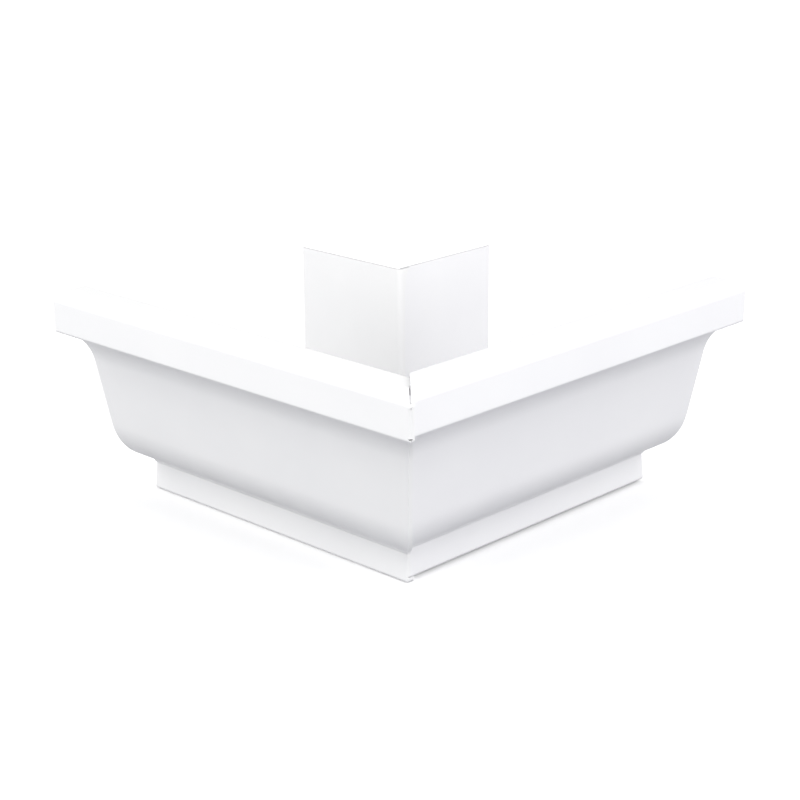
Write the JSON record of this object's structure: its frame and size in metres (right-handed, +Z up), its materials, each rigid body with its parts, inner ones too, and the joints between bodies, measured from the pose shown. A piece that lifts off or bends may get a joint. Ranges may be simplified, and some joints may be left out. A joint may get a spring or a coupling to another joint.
{
  "type": "gutter external angle",
  "caption": "Outside corner of an ogee-fronted rain gutter: two mitred legs of white folded sheet at a right angle, joined by a lapped seam, open at both ends.",
  "frame": {"origin": "the corner of the building, where the two fascia faces meet, level with the underside of the gutter", "axes": "+X along the right leg, +Y along the left leg, both away from the corner; +Z up. The trough lies on the -Y side of the right leg's back wall and on the -X side of the left leg's."},
  "size_m": [0.181, 0.182, 0.0899],
  "materials": {
    "left_coating": "smooth white baked coating, semi-gloss",
    "right_coating": "smooth white baked coating, semi-gloss"
  },
  "bodies": {
    "root": {"left_leg": "left_coating", "right_leg": "right_coating"}
  },
  "joints": []
}
